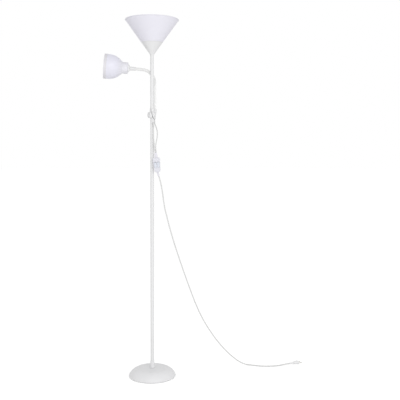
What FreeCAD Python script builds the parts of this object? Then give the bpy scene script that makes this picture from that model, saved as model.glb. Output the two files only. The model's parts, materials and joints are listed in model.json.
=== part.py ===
"""Floor lamp with an uplighter cone, a clamped reading arm and a double switch on its cord.

Millimetres, +Z up. The origin is the middle of the base's underside, on the pole's axis.
-Y is the front, where the switch and the slit of the arm clamp face.
Each sub-part is one function that returns a solid; NODES at the end says which file each one is.
"""
import math
import os

import FreeCAD
import Part

V = FreeCAD.Vector
UP = V(0, 0, 1)
ORIGIN = V(0, 0, 0)

# ---- clearances -------------------------------------------------------------------------------
SLIP = 0.05          # radial play of a shaft or plug in its bore
SEAT = 0.3           # gap where curved or moulded pieces lie against each other

# ---- base ---------------------------------------------------------------------------------------
BASE_RADIUS = 117.0
BASE_HEIGHT = 42.3           # at the middle of the crown
BASE_CROWN_FALL = 0.9        # by which the crown's cone is lower at its edge
BASE_SHOULDER_WIDTH = 52.0   # from the crown's edge to the rim
BASE_RIM_HEIGHT = 7.0        # height of the widest line
BASE_RIM_TUCK = 2.0          # the rim rolls in by this much below its widest line
COVER_WALL = 1.6
RIM_LIFT = 1.0               # the rim stays this far above the floor
PAD_THICKNESS = 2.0
WEIGHT_GAP = 9.4             # between the weight's edge and the cover
WEIGHT_THICKNESS = 9.0
WEIGHT_BOSS_RADIUS = 24.0
WEIGHT_BOSS_FOOT = 14.0      # width of the fillet round the boss
WEIGHT_CHAMFER = 3.0
NUT_HEADROOM = 1.0           # between the weight's recess and the washer under it
STUD_RADIUS = 4.95           # M10
BASE_NUT_FLATS = 16.0
BASE_NUT_HEIGHT = 5.0
WASHER_RADIUS = 12.0
WASHER_THICKNESS = 1.6

# ---- pole ---------------------------------------------------------------------------------------
POLE_RADIUS = 9.0
POLE_WALL = 1.0
STUB_HEIGHT = 34.2
STUB_RADIUS = 10.4
STUB_FOOT_RADIUS = 13.5
SECTION_LENGTH = 302.0
SECTION_COUNT = 4
UPPER_POLE_LENGTH = 322.0
PLUG_LENGTH = 10.0           # part of a coupling held in the lower tube
SPIGOT_RADIUS = 6.0          # threaded part that the upper tube screws on
SPIGOT_LENGTH = 11.0
WIRE_BORE = 3.5              # radius of the way for the lead
LEAD_RADIUS = 2.3
BEND_CUT = 16.5              # the cable hole lies this far below the uppermost screwed joint
CABLE_HOLE_RADIUS = 3.6
OUTLET_ANGLE = -55.0         # direction of the cable hole, degrees from +X
OUTLET_REACH = 4.6           # the cable leaves the outlet this far from the pole's wall
OUTLET_TAIL = 18.0           # length of the outlet's tail below the cable hole
OUTLET_CROWN = 8.0           # height of its rounded top above the cable hole
OUTLET_SADDLE = 6.0          # radius of the pad that lies on the pole

# ---- uplighter ----------------------------------------------------------------------------------
CONE_RADIUS = 133.0          # at the rim
CONE_SLOPE = 0.72            # radius gained per height
CONE_HEIGHT = 171.5          # from the cone's lower end on the pole to the rim
CUP_SHARE_HEIGHT = 60.0      # painted cup, from its lower end to the seam
CUP_LIFT = 2.1               # the cone's lower end above the pole's top
CUP_WALL = 1.0
CUP_FLOOR = 1.2
CONE_WALL = 2.4
RIM_BEAD = 1.9
NIPPLE_RADIUS = 4.95         # M10 x 1
NIPPLE_REACH = 13.0
LOCKNUT_FLATS = 14.0
LOCKNUT_HEIGHT = 3.5

E27_BORE = 13.6
E27_SKIRT_RADIUS = 19.5
E27_HOLDER_HEIGHT = 54.0
E27_SHOULDER = 26.0          # height of the shoulder that carries the shade
E27_RING_RADIUS = 26.0
E27_RING_HEIGHT = 8.0
E27_CAP_RADIUS = 13.2
E27_CAP_LENGTH = 26.0
LARGE_BULB_RADIUS = 30.0
LARGE_BULB_LENGTH = 106.0
LARGE_BULB_NECK = 13.0       # straight part above the cap
BULB_WALL = 0.8
CAP_FOOT = 5.0               # a bulb's contact and insulating cone, below its thread
CAP_COLLAR = 3.0             # plain part above the thread
THREAD_DEPTH = 1.0

# ---- reading arm --------------------------------------------------------------------------------
ARM_X = 11.5                 # place of the arm's upright part beside the pole
ARM_Y = 18.5
NECK_RADIUS = 7.6
NECK_BORE = 4.5
CLAMP_LIFT = 9.5             # the clamp's lower end above the uppermost screwed joint
CLAMP_HEIGHT = 49.0
NECK_INSERTION = 13.0        # length of the gooseneck held in the clamp
NECK_RISE = 129.0            # straight part of the gooseneck above the clamp
BEND_RADIUS = 65.0
HEAD_RISE = 4.7              # degrees by which the head's axis climbs
HEAD_SWING = 4.5             # degrees by which it is turned towards the front
NECK_STUB = 6.0              # short straight piece between the two places that flex
FLEX_LENGTH = 24.8
FERRULE_START = 33.3         # distances along the head's axis, from the end of the bend
FERRULE_END = 64.5
FERRULE_RADIUS = 9.8
FERRULE_MOUTH_RADIUS = 8.9

# ---- reading lamp -------------------------------------------------------------------------------
BACK_CAP_RADIUS = 18.9
BACK_CAP_CORNER = 4.5
COLLAR_START = 72.3
COLLAR_RADIUS = 28.2
COLLAR_LENGTH = 27.0
COLLAR_CORNER = 2.5
BELL_RADIUS = 60.5
BELL_LENGTH = 90.5           # from the collar's end to the mouth
BELL_WALL = 2.0
BELL_BAND = 14.0             # length of the thickened band at the mouth
BELL_BAND_RISE = 0.7
# Places on the bell, as shares of its gain in radius and of its length after the collar.
FLARE_START = (0.062, 0.0245)
FLARE_END = (0.39, 0.155)
BELL_SHOULDER = (0.765, 0.36)
BELL_STRAIGHT = (1.0, 0.76)
E14_SKIRT_RADIUS = 14.0
E14_BORE = 7.4
E14_HOLDER_LENGTH = 34.0
E14_RING_RADIUS = 19.0
E14_RING_LENGTH = 7.0
E14_CAP_RADIUS = 6.9
E14_CAP_LENGTH = 23.0
SMALL_BULB_RADIUS = 22.5
SMALL_BULB_LENGTH = 77.0
SMALL_BULB_NECK = 5.0

# ---- arm clamp ----------------------------------------------------------------------------------
CLAMP_WALL = 2.2
BOSS_WALL = 2.0
BOSS_TIP_RADIUS = 4.7
LUG_REACH = 16.5             # distance of the screw's axis in front of the pole's axis
LUG_ROUND = 8.5
LUG_HEIGHT = 27.0
SCREW_RISE = 16.5            # the screw's axis above the clamp's lower end
SCREW_RADIUS = 2.45          # M5
CLAMP_NUT_FLATS = 8.0
CLAMP_NUT_THICKNESS = 4.0
SLIT_WIDTH = 3.0
SLIT_TOP_X = -5.0            # the slit slants across the front
SLIT_LOW_X = 6.5
KNOB_RADIUS = 14.0
KNOB_THICKNESS = 9.0
KNOB_FLUTES = 10
FLUTE_RADIUS = 2.4

# ---- switch -------------------------------------------------------------------------------------
SWITCH_DROP = 220.0          # its middle below the uppermost screwed joint
SWITCH_ASIDE = 25.2          # to the right of the pole's axis
SWITCH_AHEAD = 21.0          # in front of it
SWITCH_LEAN = -6.0           # degrees about Y: the top leans to -X
SWITCH_LENGTH = 72.0
SWITCH_TOP_WIDTH = 37.5
SWITCH_LOW_WIDTH = 29.0
SWITCH_CORNER = 7.0
SWITCH_FRONT = 10.0          # depth of the front half
SWITCH_BACK = 9.0            # depth of the back half
SWITCH_WALL = 2.0
ROCKER_OFFSET = 7.0
ROCKER_WIDTH = 9.4
ROCKER_LENGTH = 26.4
ROCKER_TILT = 6.0            # degrees from level at rest
ROCKER_PROUD = 1.6
ROCKER_PLAY = 0.5           # at the rockers' sides
ROCKER_END_PLAY = 0.95      # at their ends, which swing
PIVOT_RADIUS = 1.2
PIVOT_DEPTH = -5.5           # the rockers' axis, in the switch's own frame
TOP_RELIEF_LENGTH = 24.0
LOW_RELIEF_LENGTH = 22.0
LOW_RELIEF_LEAN = -10.5      # degrees by which the supply cord pulls it aside

# ---- cords --------------------------------------------------------------------------------------
LEG_DIAMETER = 5.2           # the two cables from the lamps to the switch
CORD_DIAMETER = 6.0          # the supply cord
LEG_SPREAD = 2.75            # half the distance of the two cables, side by side in the relief
RELIEF_TIP_RADIUS = 3.1
ARM_RELIEF_LENGTH = 42.0

# Routes between the first and the last run of each cord, whose ends follow the pieces they leave.
POLE_LEG = [
    (8.1, -13.6, 1209.0),
    (9.6, -17.2, 1187.0),
    (12.2, -20.0, 1165.0),
]
# It bows out to the right of the pole.
ARM_LEG = [
    (17.3, 16.4, 1257.0),
    (23.6, 11.0, 1240.0),
    (26.6, 2.6, 1221.0),
    (26.0, -6.8, 1201.0),
    (22.4, -14.6, 1182.0),
    (19.4, -19.4, 1163.0),
]
# It hangs out to the right and runs away over the floor to the plug.
SUPPLY = [
    (45.6, -18.0, 968.0),
    (52.0, -14.4, 930.0),
    (57.0, -10.4, 890.0),
    (62.4, -6.9, 850.0),
    (73.5, -1.9, 805.0),
    (89.0, 5.0, 742.0),
    (112.5, 15.2, 660.0),
    (138.0, 26.4, 580.0),
    (164.0, 38.0, 502.0),
    (190.0, 49.2, 427.0),
    (217.2, 61.2, 352.0),
    (248.0, 74.6, 281.0),
    (284.6, 90.6, 215.0),
    (322.6, 107.6, 156.0),
    (361.6, 124.8, 105.0),
    (402.2, 142.4, 60.0),
    (442.0, 160.0, 24.0),
    (480.0, 170.8, 3.05),
    (515.0, 160.0, 3.05),
    (548.0, 147.0, 3.05),
    (585.0, 141.5, 3.05),
    (622.0, 144.5, 3.05),
    (656.0, 153.5, 3.05),
    (687.0, 165.5, 5.6),
    (716.0, 177.7, 6.9),
]

# ---- plug ---------------------------------------------------------------------------------------
PLUG_FACE_WIDTH = 33.0
PLUG_BACK_WIDTH = 15.0
PLUG_THICKNESS = 13.4
PLUG_BODY_LENGTH = 30.0
PLUG_TAIL_LENGTH = 22.0
PIN_RADIUS = 2.0
PIN_LENGTH = 19.0
PIN_ROUND = 1.2              # radius of the tips' edge
PIN_SPACING = 18.6

# ---- sizes that follow --------------------------------------------------------------------------
POLE_BORE = POLE_RADIUS - POLE_WALL
WEIGHT_RADIUS = BASE_RADIUS - COVER_WALL - WEIGHT_GAP
STUB_TOP = BASE_HEIGHT + STUB_HEIGHT
JOINT_HEIGHTS = [STUB_TOP + k * SECTION_LENGTH for k in range(SECTION_COUNT + 1)]
TOP_JOINT = JOINT_HEIGHTS[-1]
POLE_TOP = TOP_JOINT + UPPER_POLE_LENGTH
OUTLET_HEIGHT = TOP_JOINT - BEND_CUT
CONE_FOOT = POLE_TOP + CUP_LIFT
CONE_TOP = CONE_FOOT + CONE_HEIGHT
CONE_APEX = CONE_TOP - CONE_RADIUS / CONE_SLOPE
SEAM = CONE_FOOT + CUP_SHARE_HEIGHT
SLANT = math.hypot(1.0, CONE_SLOPE)     # turns a wall's thickness into a difference of radius
CLAMP_LOW = TOP_JOINT + CLAMP_LIFT
CLAMP_TOP = CLAMP_LOW + CLAMP_HEIGHT
SCREW_HEIGHT = CLAMP_LOW + SCREW_RISE
BEND_START = CLAMP_TOP + NECK_RISE
SWITCH_AT = V(SWITCH_ASIDE, -SWITCH_AHEAD, TOP_JOINT - SWITCH_DROP)
HOLDER_FOOT = POLE_TOP + CUP_FLOOR + LOCKNUT_HEIGHT + 2 * SEAT
SHADE_SEAT = HOLDER_FOOT + E27_SHOULDER
FLARE_FOOT = COLLAR_START + COLLAR_LENGTH
MOUTH = FLARE_FOOT + BELL_LENGTH


# ---- helpers ------------------------------------------------------------------------------------
class Outline:
    """A closed outline in the plane of X and Z, drawn edge by edge."""

    def __init__(self, u, v):
        self.first = (u, v)
        self.last = (u, v)
        self.heading = UP
        self.edges = []

    @staticmethod
    def point(at):
        return V(at[0], 0, at[1])

    def add(self, curve, end):
        edge = curve.toShape()
        self.edges.append(edge)
        self.heading = edge.tangentAt(edge.LastParameter)
        self.last = end
        return self

    def line(self, u, v):
        return self.add(Part.LineSegment(self.point(self.last), self.point((u, v))), (u, v))

    def arc(self, mid, end):
        return self.add(Part.Arc(self.point(self.last), self.point(mid), self.point(end)), end)

    def aim(self, angle):
        """Turns the heading to an angle in degrees from +X, for the next smooth arc."""
        self.heading = V(math.cos(math.radians(angle)), 0, math.sin(math.radians(angle)))
        return self

    def smooth(self, u, v):
        """An arc to a point that leaves the last one along the heading."""
        start = self.point(self.last)
        chord = self.point((u, v)) - start
        turn = self.heading.getAngle(chord)
        if turn < 1e-4:
            return self.line(u, v)
        along = V(chord)
        along.normalize()
        side = self.heading - along * math.cos(turn)
        side.normalize()
        mid = start + chord * 0.5 + side * (chord.Length / 2 * math.tan(turn / 2))
        return self.arc((mid.x, mid.z), (u, v))

    def turned(self):
        """The solid that the closed outline makes when it turns about Z."""
        if math.dist(self.first, self.last) > 1e-6:
            self.line(*self.first)
        return Part.Face(Part.Wire(self.edges)).revolve(ORIGIN, UP, 360)

    def turned_sheet(self, wall):
        """The shell that the open outline makes: a wall to its left, or to its right if negative."""
        sheet = Part.Wire(self.edges).makeOffset2D(wall, 2, True, True)
        return sheet.revolve(ORIGIN, UP, 360)


def ring(outer, inner, low, high):
    """A tube on the Z axis."""
    solid = Part.makeCylinder(outer, high - low, V(0, 0, low))
    if inner <= 0:
        return solid
    return solid.cut(Part.makeCylinder(inner, high - low, V(0, 0, low)))


def hexagon(flats, low, high):
    """A hexagonal prism on the Z axis, given its width across the flats."""
    corner = flats / math.sqrt(3)
    points = [V(corner * math.cos(a), corner * math.sin(a), low)
              for a in (math.radians(60 * k) for k in range(7))]
    return Part.Face(Part.makePolygon(points)).extrude(V(0, 0, high - low))


def hex_nut(flats, bore, low, high):
    nut = hexagon(flats, low, high).cut(Part.makeCylinder(bore, high - low, V(0, 0, low)))
    crown = Part.makeCone(flats * 0.5 + high - low, flats * 0.5, high - low, V(0, 0, low))
    return nut.common(crown)


def bulb_cap(radius, length, ridges, contact_radius):
    """Screw cap of a bulb, foot at z = 0: contact, insulating cone and knuckle thread."""
    root = radius - THREAD_DEPTH
    pitch = (length - CAP_FOOT - CAP_COLLAR) / ridges
    outline = Outline(0, 0).line(contact_radius, 0).line(contact_radius + 1.0, 1.2)
    outline.line(root, CAP_FOOT)
    for k in range(ridges):
        low = CAP_FOOT + k * pitch
        outline.line(radius, low + pitch / 2).line(root, low + pitch)
    outline.line(radius, length - CAP_COLLAR + THREAD_DEPTH).line(radius, length).line(0, length)
    return outline.turned()


def bulb_glass(radius, neck, low, shoulder, length):
    """Hollow glass: a straight neck from z = low, then a cone tangent to the ball that crowns it."""
    centre = length - radius
    away = math.hypot(neck, centre - shoulder)
    lean = math.atan2(centre - shoulder, neck) - math.acos(radius / away)
    outline = Outline(neck, low).line(neck, shoulder)
    outline.line(radius * math.cos(lean), centre - radius * math.sin(lean)).smooth(0, length)
    return outline.turned_sheet(BULB_WALL)


def swung(shape):
    """Turns what the bend carries about the arm's upright part."""
    return shape.rotated(V(ARM_X, ARM_Y, 0), UP, HEAD_SWING)


def in_head(shape):
    """Puts a shape built along +Z on the head's axis, which starts at the end of the bend."""
    return swung(shape.rotated(ORIGIN, V(0, 1, 0), HEAD_RISE - 90).translated(bend_end()))


def bend_end():
    turn = math.radians(90 - HEAD_RISE)
    return V(ARM_X - BEND_RADIUS * (1 - math.cos(turn)), ARM_Y,
             BEND_START + BEND_RADIUS * math.sin(turn))


def in_switch(shape):
    """Puts a shape from the switch's own frame (Z along it, -Y its front) where it hangs."""
    return shape.rotated(ORIGIN, V(0, 1, 0), SWITCH_LEAN).translated(SWITCH_AT)


def switch_point(aside, height):
    """A point of the switch's parting plane, at a distance to the right of its axis."""
    return in_switch(Part.Vertex(aside, 0, height)).Point


# ---- cords --------------------------------------------------------------------------------------
def leaving(start, direction, length):
    """The first run of a cord: the end of the piece it comes out of, and a point straight on."""
    return [start, start + direction * length]


def into_switch(aside):
    """The last run of a cable from the lamps, into the relief on the switch."""
    end = SWITCH_LENGTH / 2 + TOP_RELIEF_LENGTH
    return [switch_point(aside, end + 20.0), switch_point(aside, end)]


def pole_cable():
    start = outlet_foot()
    route = leaving(start, -UP, 19.0) + [V(*p) for p in POLE_LEG] + into_switch(-LEG_SPREAD)
    return cord("pole_cable", route, LEG_DIAMETER)


def arm_cable():
    start = V(ARM_X, ARM_Y, arm_relief_top() - ARM_RELIEF_LENGTH)
    route = leaving(start, -UP, 15.0) + [V(*p) for p in ARM_LEG] + into_switch(LEG_SPREAD)
    return cord("arm_cable", route, LEG_DIAMETER)


def supply_route():
    leads = [in_low_relief(Part.Vertex(0, 0, -LOW_RELIEF_LENGTH - run)).Point for run in (0, 18.0)]
    return leads + [V(*p) for p in SUPPLY]


def supply_cord():
    return cord("supply_cord", supply_route(), CORD_DIAMETER)


def cord(name, points, diameter):
    """A tube of straight runs joined by tangent arcs as large as the runs allow."""
    at = points[0]
    edges = []
    radii = []
    for before, corner, after in zip(points, points[1:], points[2:]):
        back = before - corner
        ahead = after - corner
        reach = 0.45 * min(back.Length, ahead.Length)
        turn = math.pi - back.getAngle(ahead)
        radius = reach / math.tan(turn / 2)
        back.normalize()
        ahead.normalize()
        start = corner + back * reach
        end = corner + ahead * reach
        inward = back + ahead
        inward.normalize()
        middle = corner + inward * (radius / math.cos(turn / 2) - radius)
        edges.append(Part.LineSegment(at, start).toShape())
        edges.append(Part.Arc(start, middle, end).toShape())
        radii.append(radius)
        at = end
    edges.append(Part.LineSegment(at, points[-1]).toShape())
    path = Part.Wire(edges)
    section = Part.Wire(Part.makeCircle(diameter / 2, points[0], points[1] - points[0]))
    tube = path.makePipeShell([section], True, False)
    expected = math.pi * (diameter / 2) ** 2 * path.Length
    print(name, "length", round(path.Length, 1), "volume / expected", round(tube.Volume / expected, 4),
          "radii", [round(r) for r in radii])
    return tube


# ---- base ---------------------------------------------------------------------------------------
def base_cover():
    """Pressed cover: a nearly flat crown, a round shoulder and a rim rolled in at the floor."""
    outline = Outline(STUD_RADIUS + SLIP, BASE_HEIGHT)
    outline.line(BASE_RADIUS - BASE_SHOULDER_WIDTH, BASE_HEIGHT - BASE_CROWN_FALL)
    outline.smooth(BASE_RADIUS, BASE_RIM_HEIGHT).smooth(BASE_RADIUS - BASE_RIM_TUCK, RIM_LIFT)
    return outline.turned_sheet(-COVER_WALL)


def base_pad():
    return Part.makeCylinder(BASE_RADIUS - BASE_RIM_TUCK - COVER_WALL - SEAT, PAD_THICKNESS)


def recess_top():
    """Height of the weight's underside round the stud, above the washer and nut."""
    return PAD_THICKNESS + SEAT + BASE_NUT_HEIGHT + WASHER_THICKNESS + NUT_HEADROOM


def base_weight():
    """Cast disc with a boss under the crown and a recess for the nut."""
    low = PAD_THICKNESS + SEAT
    top = low + WEIGHT_THICKNESS
    boss_top = BASE_HEIGHT - COVER_WALL - SEAT
    boss_foot = WEIGHT_BOSS_RADIUS + WEIGHT_BOSS_FOOT
    outline = Outline(STUD_RADIUS + SLIP, recess_top()).line(WASHER_RADIUS + 2, recess_top())
    outline.line(WASHER_RADIUS + 2, low).line(WEIGHT_RADIUS, low)
    outline.line(WEIGHT_RADIUS, top - WEIGHT_CHAMFER).line(WEIGHT_RADIUS - WEIGHT_CHAMFER, top)
    outline.line(boss_foot, top).aim(180).smooth(WEIGHT_BOSS_RADIUS, top + WEIGHT_BOSS_FOOT)
    outline.line(WEIGHT_BOSS_RADIUS - 4, boss_top).line(STUD_RADIUS + SLIP, boss_top)
    return outline.turned()


def base_washer():
    return ring(WASHER_RADIUS, STUD_RADIUS + SLIP, recess_top() - WASHER_THICKNESS, recess_top())


def base_nut():
    top = recess_top() - WASHER_THICKNESS
    return hex_nut(BASE_NUT_FLATS, STUD_RADIUS + SLIP, top - BASE_NUT_HEIGHT, top)


def base_stud():
    low = PAD_THICKNESS + 2 * SEAT
    return Part.makeCylinder(STUD_RADIUS, BASE_HEIGHT + stub_floor() - low, V(0, 0, low))


def stub_floor():
    """Thickness of the stub's lower end, which the stud screws into."""
    return STUB_HEIGHT - PLUG_LENGTH - 1.0


def foot_stub():
    """Turned foot of the pole: a flange on the crown, and the tube's socket above the stud."""
    low = BASE_HEIGHT + SLIP
    step = BASE_HEIGHT + stub_floor()
    outline = Outline(STUD_RADIUS + SLIP, low).line(STUB_FOOT_RADIUS - 0.8, low)
    outline.line(STUB_FOOT_RADIUS, low + 0.8).line(STUB_FOOT_RADIUS, low + 2.4)
    outline.line(STUB_RADIUS + 0.8, low + 3.6).line(STUB_RADIUS, low + 6.4)
    outline.line(STUB_RADIUS, STUB_TOP - 1.2).line(STUB_RADIUS - 1.0, STUB_TOP)
    outline.line(POLE_BORE, STUB_TOP).line(POLE_BORE, step).line(STUD_RADIUS + SLIP, step)
    return outline.turned()


# ---- pole ---------------------------------------------------------------------------------------
def pole_tube(low, length):
    """A tube with the threaded bush that is fixed in its lower end."""
    bush_top = low + SPIGOT_LENGTH + 1.0
    outline = Outline(SPIGOT_RADIUS + SLIP, low).line(POLE_RADIUS - 0.3, low)
    outline.line(POLE_RADIUS, low + 0.3).line(POLE_RADIUS, low + length - 0.3)
    outline.line(POLE_RADIUS - 0.3, low + length).line(POLE_BORE, low + length)
    outline.line(POLE_BORE, bush_top).line(SPIGOT_RADIUS + SLIP, bush_top)
    return outline.turned()


def pole_section(k):
    tube = pole_tube(JOINT_HEIGHTS[k], SECTION_LENGTH)
    if k < SECTION_COUNT - 1:
        return tube
    return tube.cut(outlet_bore(CABLE_HOLE_RADIUS, POLE_BORE - 2.0, POLE_RADIUS + 2.0))


def upper_pole():
    return pole_tube(TOP_JOINT, UPPER_POLE_LENGTH)


def coupling(height):
    """Hollow turned piece: a plug held in the lower tube and a threaded spigot above it."""
    plug = POLE_BORE - SLIP
    outline = Outline(WIRE_BORE, height - PLUG_LENGTH).line(plug, height - PLUG_LENGTH)
    outline.line(plug, height).line(SPIGOT_RADIUS, height)
    outline.line(SPIGOT_RADIUS, height + SPIGOT_LENGTH - 1)
    outline.line(SPIGOT_RADIUS - 1, height + SPIGOT_LENGTH).line(WIRE_BORE, height + SPIGOT_LENGTH)
    return outline.turned()


def outlet_bore(radius, start, end):
    """A round bar that points out of the pole where its cable leaves."""
    angle = math.radians(OUTLET_ANGLE)
    out = V(math.cos(angle), math.sin(angle), 0)
    return Part.makeCylinder(radius, end - start, out * start + V(0, 0, OUTLET_HEIGHT), out)


def pole_outlet():
    """Moulded outlet: a spigot in the pole's hole, a saddle on its wall and a tapered tail."""
    angle = math.radians(OUTLET_ANGLE)
    tail_at = POLE_RADIUS + OUTLET_REACH
    low = OUTLET_HEIGHT - OUTLET_TAIL
    high = OUTLET_HEIGHT + OUTLET_CROWN
    tail = Outline(0, low).line(RELIEF_TIP_RADIUS + 0.3, low).line(4.4, OUTLET_HEIGHT)
    tail = tail.line(3.6, high - 2.6).line(1.8, high - 0.5).line(0, high).turned()
    tail = tail.translated(V(tail_at * math.cos(angle), tail_at * math.sin(angle), 0))
    saddle = outlet_bore(OUTLET_SADDLE, POLE_BORE, tail_at)
    wall = Part.makeCylinder(POLE_RADIUS + SLIP, high - low, V(0, 0, low))
    spigot = outlet_bore(CABLE_HOLE_RADIUS - SLIP, POLE_BORE, tail_at)
    return saddle.fuse(tail).cut(wall).fuse(spigot)


def outlet_foot():
    """Where the cable leaves the outlet's tail."""
    angle = math.radians(OUTLET_ANGLE)
    out = V(math.cos(angle), math.sin(angle), 0) * (POLE_RADIUS + OUTLET_REACH)
    return out + V(0, 0, OUTLET_HEIGHT - OUTLET_TAIL)


def pole_lead():
    """Lead from the upper lampholder down the pole, which turns out into the outlet."""
    angle = math.radians(OUTLET_ANGLE)
    out = V(math.cos(angle), math.sin(angle), 0)
    reach = POLE_BORE - SLIP
    top = V(0, 0, HOLDER_FOOT - SEAT)
    bend = V(0, 0, OUTLET_HEIGHT + reach)
    end = out * reach + V(0, 0, OUTLET_HEIGHT)
    middle = bend + out * reach * (1 - math.cos(math.pi / 4)) - UP * reach * math.sin(math.pi / 4)
    path = Part.Wire([Part.LineSegment(top, bend).toShape(), Part.Arc(bend, middle, end).toShape()])
    section = Part.Wire(Part.makeCircle(LEAD_RADIUS, top, V(0, 0, -1)))
    return path.makePipeShell([section], True, False)


# ---- uplighter ----------------------------------------------------------------------------------
def cone_radius(height):
    """Outer radius of the cone that cup and shade share."""
    return (height - CONE_APEX) * CONE_SLOPE


def top_nipple():
    outline = Outline(WIRE_BORE, POLE_TOP - PLUG_LENGTH).line(POLE_BORE - SLIP, POLE_TOP - PLUG_LENGTH)
    outline.line(POLE_BORE - SLIP, POLE_TOP).line(NIPPLE_RADIUS, POLE_TOP)
    outline.line(NIPPLE_RADIUS, POLE_TOP + NIPPLE_REACH).line(WIRE_BORE, POLE_TOP + NIPPLE_REACH)
    return outline.turned()


def cup_locknut():
    low = POLE_TOP + CUP_FLOOR
    return hex_nut(LOCKNUT_FLATS, NIPPLE_RADIUS + SLIP, low, low + LOCKNUT_HEIGHT)


def shade_cup():
    """Painted steel cup: a flat floor on the pole and a cone up to the seam."""
    neck = POLE_RADIUS + 0.6
    knee = CONE_APEX + neck / CONE_SLOPE
    wall = CUP_WALL * SLANT
    inner_knee = POLE_TOP + CUP_FLOOR
    outline = Outline(NIPPLE_RADIUS + SLIP, POLE_TOP).line(neck, POLE_TOP).line(neck, knee)
    outline.line(cone_radius(SEAM), SEAM).line(cone_radius(SEAM) - wall, SEAM)
    outline.line(cone_radius(knee + 2) - wall, knee + 2).line(neck - CUP_WALL, inner_knee)
    outline.line(NIPPLE_RADIUS + SLIP, inner_knee)
    return outline.turned()


def uplighter_shade():
    """Opal cone: flush with the cup above the seam, inside the cup below it, flange at its foot."""
    inset = (CUP_WALL + SEAT) * SLANT
    wall = CONE_WALL * SLANT
    flange_top = SHADE_SEAT + 2.0
    hole = E27_SKIRT_RADIUS + SEAT
    step = SEAM + SEAT
    outline = Outline(hole, SHADE_SEAT).line(cone_radius(SHADE_SEAT) - inset, SHADE_SEAT)
    outline.line(cone_radius(SEAM) - inset, SEAM).line(cone_radius(step) - inset, step)
    outline.line(cone_radius(step), step).line(cone_radius(CONE_TOP - 4), CONE_TOP - 4)
    outline.arc((CONE_RADIUS - 0.2, CONE_TOP - 1.6), (CONE_RADIUS - RIM_BEAD, CONE_TOP))
    outline.arc((CONE_RADIUS - 2.2 * RIM_BEAD, CONE_TOP - 1.0),
                (cone_radius(CONE_TOP - 4) - wall, CONE_TOP - 4))
    outline.line(cone_radius(flange_top) - wall, flange_top).line(hole, flange_top)
    return outline.turned()


def e27_holder():
    """Lampholder: domed cap on the nipple, shoulder for the shade, threaded skirt."""
    foot = HOLDER_FOOT
    top = foot + E27_HOLDER_HEIGHT
    cavity = foot + 15.0
    outline = Outline(NIPPLE_RADIUS + SLIP, foot).line(9.5, foot)
    outline.line(14.0, foot + 7.0).line(17.0, foot + 15.0)
    outline.line(17.0, SHADE_SEAT - 6).line(E27_SKIRT_RADIUS + 4.0, SHADE_SEAT - 2)
    outline.line(E27_SKIRT_RADIUS + 4.0, SHADE_SEAT).line(E27_SKIRT_RADIUS, SHADE_SEAT)
    outline.line(E27_SKIRT_RADIUS, top - 1).line(E27_SKIRT_RADIUS - 1, top)
    outline.line(E27_BORE + 0.8, top).line(E27_BORE, top - 3).line(E27_BORE, cavity)
    outline.line(WIRE_BORE, cavity).line(WIRE_BORE, foot + 9).line(NIPPLE_RADIUS + SLIP, foot + 9)
    return outline.turned()


def e27_ring():
    """Threaded ring that clamps the shade's flange on the holder's shoulder."""
    low = SHADE_SEAT + 2.0 + SEAT
    high = low + E27_RING_HEIGHT
    inner = E27_SKIRT_RADIUS + SLIP
    outline = Outline(inner, low).line(E27_RING_RADIUS, low).line(E27_RING_RADIUS, low + 2)
    outline.line(inner + 2.2, low + 2).line(inner + 2.2, high - 0.6).line(inner + 1.6, high)
    outline.line(inner, high)
    return outline.turned()


def e27_contact():
    """Brass centre contact: a leaf with a raised button at the bottom of the holder."""
    low = HOLDER_FOOT + 15.0 + SLIP
    outline = Outline(WIRE_BORE + 0.5, low).line(8.0, low).line(8.0, low + 1.0)
    outline.line(6.0, low + 1.0).line(5.0, low + 2.6).line(WIRE_BORE + 0.5, low + 2.6)
    return outline.turned()


def large_bulb_foot():
    return HOLDER_FOOT + 15.0 + 2.6 + 2 * SLIP


def large_bulb_cap():
    return bulb_cap(E27_CAP_RADIUS, E27_CAP_LENGTH, 4, 5.0).translated(V(0, 0, large_bulb_foot()))


def large_bulb_glass():
    glass = bulb_glass(LARGE_BULB_RADIUS, E27_CAP_RADIUS - 0.6, E27_CAP_LENGTH,
                       E27_CAP_LENGTH + LARGE_BULB_NECK, LARGE_BULB_LENGTH)
    return glass.translated(V(0, 0, large_bulb_foot()))


# ---- arm clamp ----------------------------------------------------------------------------------
def slit_x(height):
    share = (CLAMP_TOP - height) / CLAMP_HEIGHT
    return SLIT_TOP_X + (SLIT_LOW_X - SLIT_TOP_X) * share


def clamp_half_width():
    return POLE_RADIUS + CLAMP_WALL


def screw_axis(radius, start, end):
    """A round bar along X on the axis of the clamp's screw."""
    return Part.makeCylinder(radius, end - start, V(start, -LUG_REACH, SCREW_HEIGHT), V(1, 0, 0))


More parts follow.
